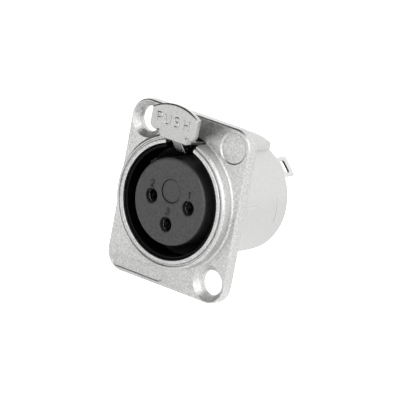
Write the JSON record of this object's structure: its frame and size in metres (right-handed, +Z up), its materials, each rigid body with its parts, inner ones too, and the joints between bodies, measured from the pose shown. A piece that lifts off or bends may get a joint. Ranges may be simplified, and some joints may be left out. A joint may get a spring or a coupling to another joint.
{
  "type": "three-pole panel socket",
  "caption": "Round three-pole panel socket in a metal flange housing, with slit contacts, solder cups and a sprung push latch over the mouth.",
  "frame": {"origin": "Axis of the round socket at the rear face of the flange, which lies on the panel", "axes": "+Z up towards the latch, -Y out of the front towards the plug, +X to the right as seen from the front"},
  "size_m": [0.026, 0.0283, 0.0329],
  "materials": {
    "nickel_casting": "satin",
    "black_plastic": "satin",
    "grey_plastic": "matte",
    "silvered_contact": "satin",
    "tinned_sheet": "satin",
    "spring_steel": "satin"
  },
  "bodies": {
    "socket": {"housing": "nickel_casting", "bore_liner": "black_plastic", "contact_insert": "grey_plastic", "rear_insert": "black_plastic", "contact_1": "silvered_contact", "contact_2": "silvered_contact", "contact_3": "silvered_contact", "ground_tag": "tinned_sheet", "latch_pin": "spring_steel", "latch_spring": "spring_steel"},
    "latch": {"latch_lever": "nickel_casting"}
  },
  "joints": [
    {"name": "latch_press", "type": "hinge", "parent": "socket", "child": "latch", "pos_m": [0, 0.00075, 0.0102], "axis": [-1, 0, 0], "range_deg": [0, 11], "stiffness_Nm_per_rad": 0.15, "springref_deg": -5.73, "deforming": ["latch_spring"]}
  ]
}
